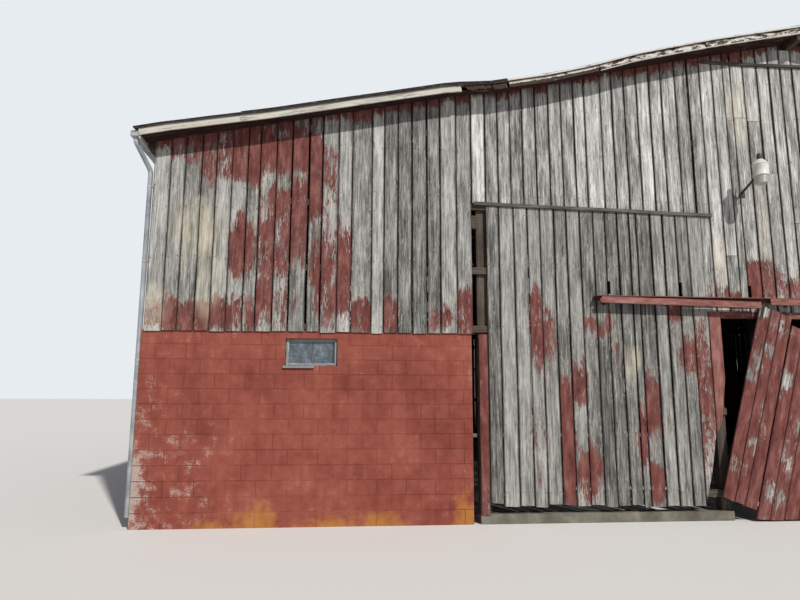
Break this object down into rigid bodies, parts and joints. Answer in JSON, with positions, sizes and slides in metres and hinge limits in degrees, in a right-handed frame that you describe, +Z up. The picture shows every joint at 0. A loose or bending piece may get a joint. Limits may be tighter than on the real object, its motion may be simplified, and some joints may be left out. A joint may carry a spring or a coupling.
{
  "type": "gable-fronted barn with block-walled outer bays, board walls and a sliding door",
  "caption": "old red barn, low gable roof, painted block walls below weathered boards, sagging sliding door leaf, white rake boards and a yard light",
  "frame": {"origin": "middle of the bounding box at ground level", "axes": "+X to the right along the pictured gable, +Y to the rear along the ridge, +Z up"},
  "size_m": [20.21, 15.575, 7.5517],
  "materials": {
    "painted_block": "chalky red masonry paint on concrete blocks, stained at the foot",
    "concrete": "rough grey concrete",
    "weathered_boards": "silver-grey sawn boards with remnants of red paint",
    "red_boards": "worn red paint on sawn boards",
    "frame_timber": "old unpainted sawn timber",
    "sheet_roofing": "ribbed galvanised sheet with rust",
    "white_trim": "worn cream paint on boards",
    "gutter_metal": "dull grey-white painted sheet",
    "rusty_steel": "rusted steel",
    "window_glass": "dusty window glass",
    "lamp_enamel": "dull white enamel",
    "lens_plastic": "yellowed ribbed plastic"
  },
  "bodies": {
    "barn": {"front_block_wall_left": "painted_block", "front_block_wall_right": "painted_block", "side_block_wall_left": "painted_block", "side_block_wall_right": "painted_block", "rear_block_walls": "painted_block", "footings": "concrete", "front_boards_outer": "weathered_boards", "front_boards_lower": "weathered_boards", "front_boards_upper": "weathered_boards", "front_boards_over_door": "weathered_boards", "side_boards": "weathered_boards", "rear_boards": "weathered_boards", "belt_strips": "weathered_boards", "trim_boards": "red_boards", "door_header": "red_boards", "posts": "frame_timber", "tie_beams": "frame_timber", "plate_beams": "frame_timber", "wall_girts": "frame_timber", "knee_braces": "frame_timber", "rafters": "frame_timber", "ridge_beam": "frame_timber", "roof_left": "sheet_roofing", "roof_right": "sheet_roofing", "ridge_cap": "sheet_roofing", "rake_boards": "white_trim", "soffits": "red_boards", "eave_fascias": "white_trim", "gutters": "gutter_metal", "downspouts": "gutter_metal", "door_track": "rusty_steel", "track_brackets": "rusty_steel", "track_hood": "red_boards", "track_cover_boards": "red_boards", "door_leaf_right": "red_boards", "door_ledges_right": "red_boards", "door_hangers_right": "rusty_steel", "window_stiles": "white_trim", "window_rails": "white_trim", "window_panes": "window_glass", "lamp_bracket": "rusty_steel", "lamp_head": "lamp_enamel", "lamp_lens": "lens_plastic"},
    "door_left": {"door_leaf_left": "red_boards", "door_ledges_left": "red_boards", "door_hanger_left": "rusty_steel"}
  },
  "joints": [
    {"name": "door_left_slide", "type": "slide", "parent": "barn", "child": "door_left", "axis": [1, 0, 0], "range_m": [-2.5, 0]}
  ]
}
